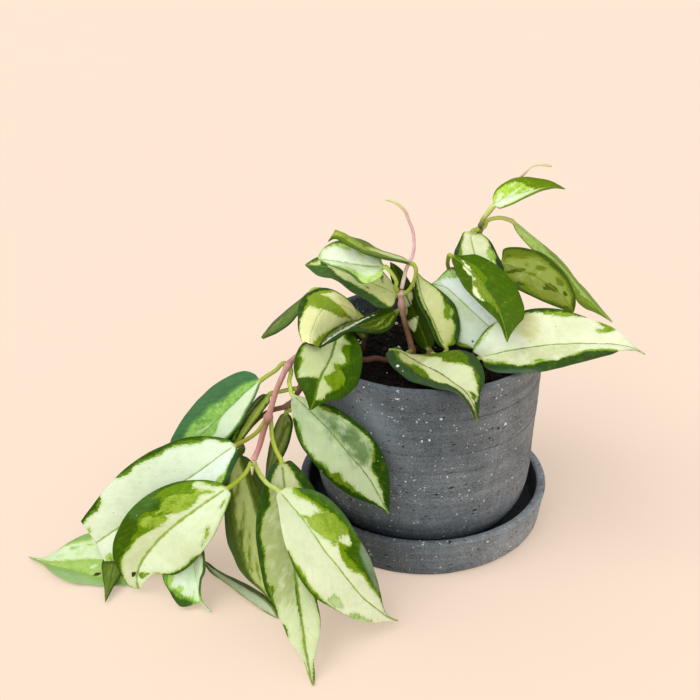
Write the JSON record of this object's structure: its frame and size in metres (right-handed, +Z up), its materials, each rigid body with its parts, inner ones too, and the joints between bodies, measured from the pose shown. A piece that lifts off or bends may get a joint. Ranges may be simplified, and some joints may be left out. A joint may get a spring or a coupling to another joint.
{
  "type": "potted variegated wax plant",
  "caption": "Trailing wax plant with thick cream and green leaves on pinkish stems, in a raw clay pot standing on its saucer, filled with dark soil.",
  "frame": {"origin": "centre of the saucer's flat underside, on the surface that the plant stands on", "axes": "+Z up along the pot's axis, +X to the viewer's right, +Y away from the viewer; the trailing stems hang over the rim on the -X side"},
  "size_m": [0.3016, 0.2069, 0.1874],
  "materials": {
    "clay": "unglazed dark grey clay, matte, with fine white and dark specks and faint turning lines",
    "soil": "dark crumbly potting soil with small white perlite grains",
    "leaf": "waxy satin leaf, cream to pale green in the middle with a jagged dark green margin and lime blotches",
    "leaf_green": "waxy satin leaf, mostly dark and olive green with lime mottling",
    "stem": "smooth reddish pink to brown stem with slightly thicker nodes",
    "stem_young": "thin young shoot, pink at the foot and yellow-green at the tip"
  },
  "bodies": {
    "root": {"pot": "clay", "saucer": "clay", "soil": "soil", "stem_trailing": "stem", "stem_second": "stem", "stem_upright": "stem", "stem_tendril": "stem_young", "stem_right": "stem", "stem_top_tendril": "stem_young", "stem_left": "stem", "stem_front": "stem", "bud_trailing": "stem_young", "leaf_trail_back_left": "leaf", "leaf_trail_against_pot": "leaf", "leaf_trail_folded": "leaf_green", "leaf_trail_behind_stem": "leaf_green", "leaf_trail_cut_end": "leaf", "leaf_trail_front_left": "leaf", "leaf_trail_long": "leaf", "leaf_trail_front_right": "leaf", "leaf_ground_left": "leaf", "leaf_ground_small": "leaf_green", "leaf_ground_middle": "leaf", "leaf_ground_edge_on": "leaf_green", "leaf_trail_shaded": "leaf", "leaf_left_edge_on": "leaf_green", "leaf_left_cut_tip": "leaf", "leaf_over_left_rim": "leaf", "leaf_boat_shaped": "leaf", "leaf_upper_left_long": "leaf", "leaf_upper_left_pale": "leaf", "leaf_upper_left_edge_on": "leaf_green", "leaf_centre_back": "leaf", "leaf_centre_cream": "leaf", "leaf_right_mint": "leaf", "leaf_right_back": "leaf", "leaf_right_front_green": "leaf_green", "leaf_right_large": "leaf", "leaf_right_spotted": "leaf_green", "leaf_right_narrow": "leaf_green", "leaf_top": "leaf_green", "leaf_over_front_rim": "leaf"}
  },
  "joints": []
}
